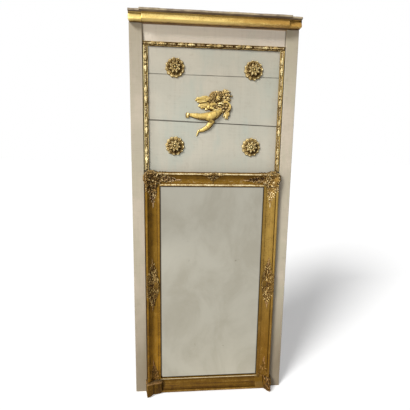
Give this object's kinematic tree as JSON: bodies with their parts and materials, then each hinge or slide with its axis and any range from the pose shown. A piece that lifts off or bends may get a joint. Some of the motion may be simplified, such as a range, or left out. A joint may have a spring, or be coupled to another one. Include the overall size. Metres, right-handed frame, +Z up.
{
  "type": "trumeau mirror",
  "caption": "Tall painted wood panel with a gilt cornice, carved gilt border, rosettes and a winged putto above a gilt-framed mirror with leafy cast ornaments.",
  "frame": {"origin": "middle of the base: midway between the stiles, midway through the depth, at the floor", "axes": "+Z up, front faces -Y, +X to the right as seen from the front"},
  "size_m": [0.8, 0.096, 1.923],
  "materials": {
    "cream_paint": "old cream paint on wood, matte and worn",
    "panel_paint": "old grey-green paint on wood, matte and mottled",
    "cornice_paint": "dusty old paint on wood",
    "bare_wood": "bare aged wood",
    "bright_gilding": "bright water gilding on carved wood",
    "carved_gilding": "aged gilding on carved wood, dark in the hollows",
    "frame_gilding": "dark aged gilding on wood, satin",
    "cast_gilding": "worn gilding on cast composition",
    "mirror_glass": "old hazy mirror glass",
    "iron": "dark old iron"
  },
  "bodies": {
    "root": {"left_stile": "cream_paint", "right_stile": "cream_paint", "top_rail": "bare_wood", "frieze_board": "panel_paint", "upper_board": "panel_paint", "middle_board": "panel_paint", "lower_board": "panel_paint", "back_board_1": "bare_wood", "back_board_2": "bare_wood", "back_board_3": "bare_wood", "back_board_4": "bare_wood", "bottom_batten": "bare_wood", "lower_batten": "bare_wood", "upper_batten": "bare_wood", "top_batten": "bare_wood", "cornice_board": "cornice_paint", "cornice_centre_moulding": "bright_gilding", "cornice_left_moulding": "bright_gilding", "cornice_right_moulding": "bright_gilding", "border_top": "carved_gilding", "border_left": "carved_gilding", "border_right": "carved_gilding", "rosette_upper_left": "carved_gilding", "rosette_upper_right": "carved_gilding", "rosette_lower_left": "carved_gilding", "rosette_lower_right": "carved_gilding", "putto": "carved_gilding", "frame_top_rail": "frame_gilding", "frame_bottom_rail": "frame_gilding", "frame_left_rail": "frame_gilding", "frame_right_rail": "frame_gilding", "top_left_ornament": "cast_gilding", "top_right_ornament": "cast_gilding", "bottom_left_ornament": "cast_gilding", "bottom_right_ornament": "cast_gilding", "top_centre_ornament": "cast_gilding", "left_side_ornament": "cast_gilding", "right_side_ornament": "cast_gilding", "mirror_glass": "mirror_glass", "glass_backing": "bare_wood", "batten_screws": "iron", "batten_nails": "iron", "frame_screws": "iron", "cornice_nails": "iron"}
  },
  "joints": []
}
